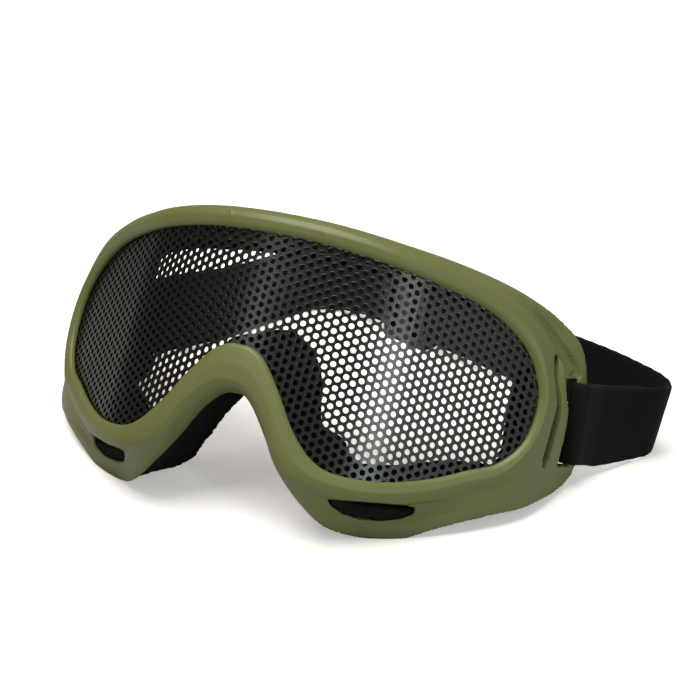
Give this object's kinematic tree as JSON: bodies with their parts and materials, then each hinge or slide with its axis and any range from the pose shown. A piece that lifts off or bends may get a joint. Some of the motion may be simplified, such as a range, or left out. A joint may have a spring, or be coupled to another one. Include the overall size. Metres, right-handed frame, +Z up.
{
  "type": "shooting goggles",
  "caption": "Wrap-round shooting goggles with a moulded frame, a perforated steel lens, face foam, foam-backed vents and an elastic strap with a slider.",
  "frame": {"origin": "centre of the footprint's bounding box, on the table the goggles lie on", "axes": "+X to the viewer's right along the goggles' width, +Y back towards the strap loop, +Z up"},
  "size_m": [0.2192, 0.1726, 0.0948],
  "materials": {
    "frame_plastic": "satin",
    "lens_steel": "satin black paint",
    "foam": "open-cell foam",
    "strap_elastic": "woven elastic",
    "slider_plastic": "gloss"
  },
  "bodies": {
    "goggles": {"frame": "frame_plastic", "lens_mesh": "lens_steel", "face_foam": "foam", "cheek_vent_foam_left": "foam", "cheek_vent_foam_right": "foam", "brow_vent_foam": "foam", "strap": "strap_elastic"},
    "slider": {"strap_slider": "slider_plastic"}
  },
  "joints": [
    {"name": "slider_travel", "type": "slide", "parent": "goggles", "child": "slider", "axis": [0.9285, -0.3714, 0], "range_m": [0, 0.018]}
  ]
}
